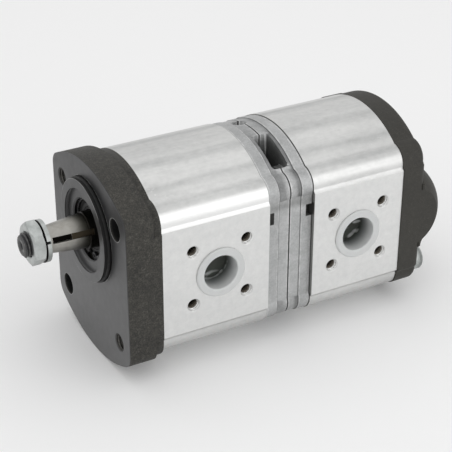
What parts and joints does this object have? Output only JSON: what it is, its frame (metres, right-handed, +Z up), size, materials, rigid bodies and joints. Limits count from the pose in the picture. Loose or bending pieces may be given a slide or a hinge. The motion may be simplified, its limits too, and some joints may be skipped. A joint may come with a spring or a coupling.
{
  "type": "tandem hydraulic pump",
  "caption": "Tandem external gear pump with a round pilot, a tapered keyed drive shaft with nut, flanged side ports and a vent window between its stages.",
  "frame": {"origin": "centre of the pilot in the plane of the mounting face, on the drive shaft's axis", "axes": "+X along the drive shaft to the rear cover, -Y out of the large inlet ports, +Z up; the driven gears lie below the drive shaft"},
  "size_m": [0.2141, 0.0822, 0.0992],
  "materials": {
    "cast_black": "sand cast, black phosphate",
    "extruded_aluminium": "bare extrusion with milled port faces",
    "diecast_aluminium": "as die cast",
    "bearing_alloy": "machined",
    "bush_bronze": "sintered, coated bore",
    "seal_rubber": "moulded",
    "backup_plastic": "moulded",
    "ground_steel": "hardened and ground",
    "dark_steel": "phosphated spring steel",
    "zinc_steel": "zinc plated",
    "plug_plastic": "translucent moulding"
  },
  "bodies": {
    "housing": {"front_cover": "cast_black", "pilot_o_ring": "seal_rubber", "shaft_seal": "seal_rubber", "seal_spring": "zinc_steel", "seal_retaining_ring": "dark_steel", "front_body": "extruded_aluminium", "rear_body": "extruded_aluminium", "body_seals": "seal_rubber", "front_stage_front_block": "bearing_alloy", "front_stage_rear_block": "bearing_alloy", "rear_stage_front_block": "bearing_alloy", "rear_stage_rear_block": "bearing_alloy", "bearing_bushes": "bush_bronze", "axial_seals": "seal_rubber", "seal_backups": "backup_plastic", "front_plate": "diecast_aluminium", "rear_plate": "diecast_aluminium", "plate_shaft_seals": "seal_rubber", "rear_cover": "cast_black", "assembly_bolts": "zinc_steel", "bolt_washers": "zinc_steel", "dowel_pins": "ground_steel"},
    "drive_train": {"drive_gear_shaft": "ground_steel", "shaft_nut": "zinc_steel", "lock_washer": "zinc_steel", "coupling_sleeve": "dark_steel", "rear_drive_gear": "ground_steel"},
    "front_driven": {"front_driven_gear": "ground_steel"},
    "rear_driven": {"rear_driven_gear": "ground_steel"},
    "front_inlet_closure": {"front_inlet_plug": "plug_plastic"},
    "rear_inlet_closure": {"rear_inlet_plug": "plug_plastic"},
    "front_outlet_closure": {"front_outlet_plug": "plug_plastic"},
    "rear_outlet_closure": {"rear_outlet_plug": "plug_plastic"}
  },
  "joints": [
    {"name": "drive_shaft_spin", "type": "hinge", "parent": "housing", "child": "drive_train", "pos_m": [0, 0, 0], "axis": [1, 0, 0], "continuous": true},
    {"name": "front_driven_spin", "type": "hinge", "parent": "housing", "child": "front_driven", "pos_m": [0, 0, -0.032], "axis": [1, 0, 0], "continuous": true},
    {"name": "rear_driven_spin", "type": "hinge", "parent": "housing", "child": "rear_driven", "pos_m": [0, 0, -0.032], "axis": [1, 0, 0], "continuous": true},
    {"name": "front_inlet_plug_pull", "type": "slide", "parent": "housing", "child": "front_inlet_closure", "axis": [0, -1, 0], "range_m": [0, 0.03]},
    {"name": "rear_inlet_plug_pull", "type": "slide", "parent": "housing", "child": "rear_inlet_closure", "axis": [0, -1, 0], "range_m": [0, 0.03]},
    {"name": "front_outlet_plug_pull", "type": "slide", "parent": "housing", "child": "front_outlet_closure", "axis": [0, 1, 0], "range_m": [0, 0.03]},
    {"name": "rear_outlet_plug_pull", "type": "slide", "parent": "housing", "child": "rear_outlet_closure", "axis": [0, 1, 0], "range_m": [0, 0.03]}
  ],
  "couplings": [
    {"joint": "front_driven_spin", "follows": "drive_shaft_spin", "ratio": -1},
    {"joint": "rear_driven_spin", "follows": "drive_shaft_spin", "ratio": -1}
  ]
}
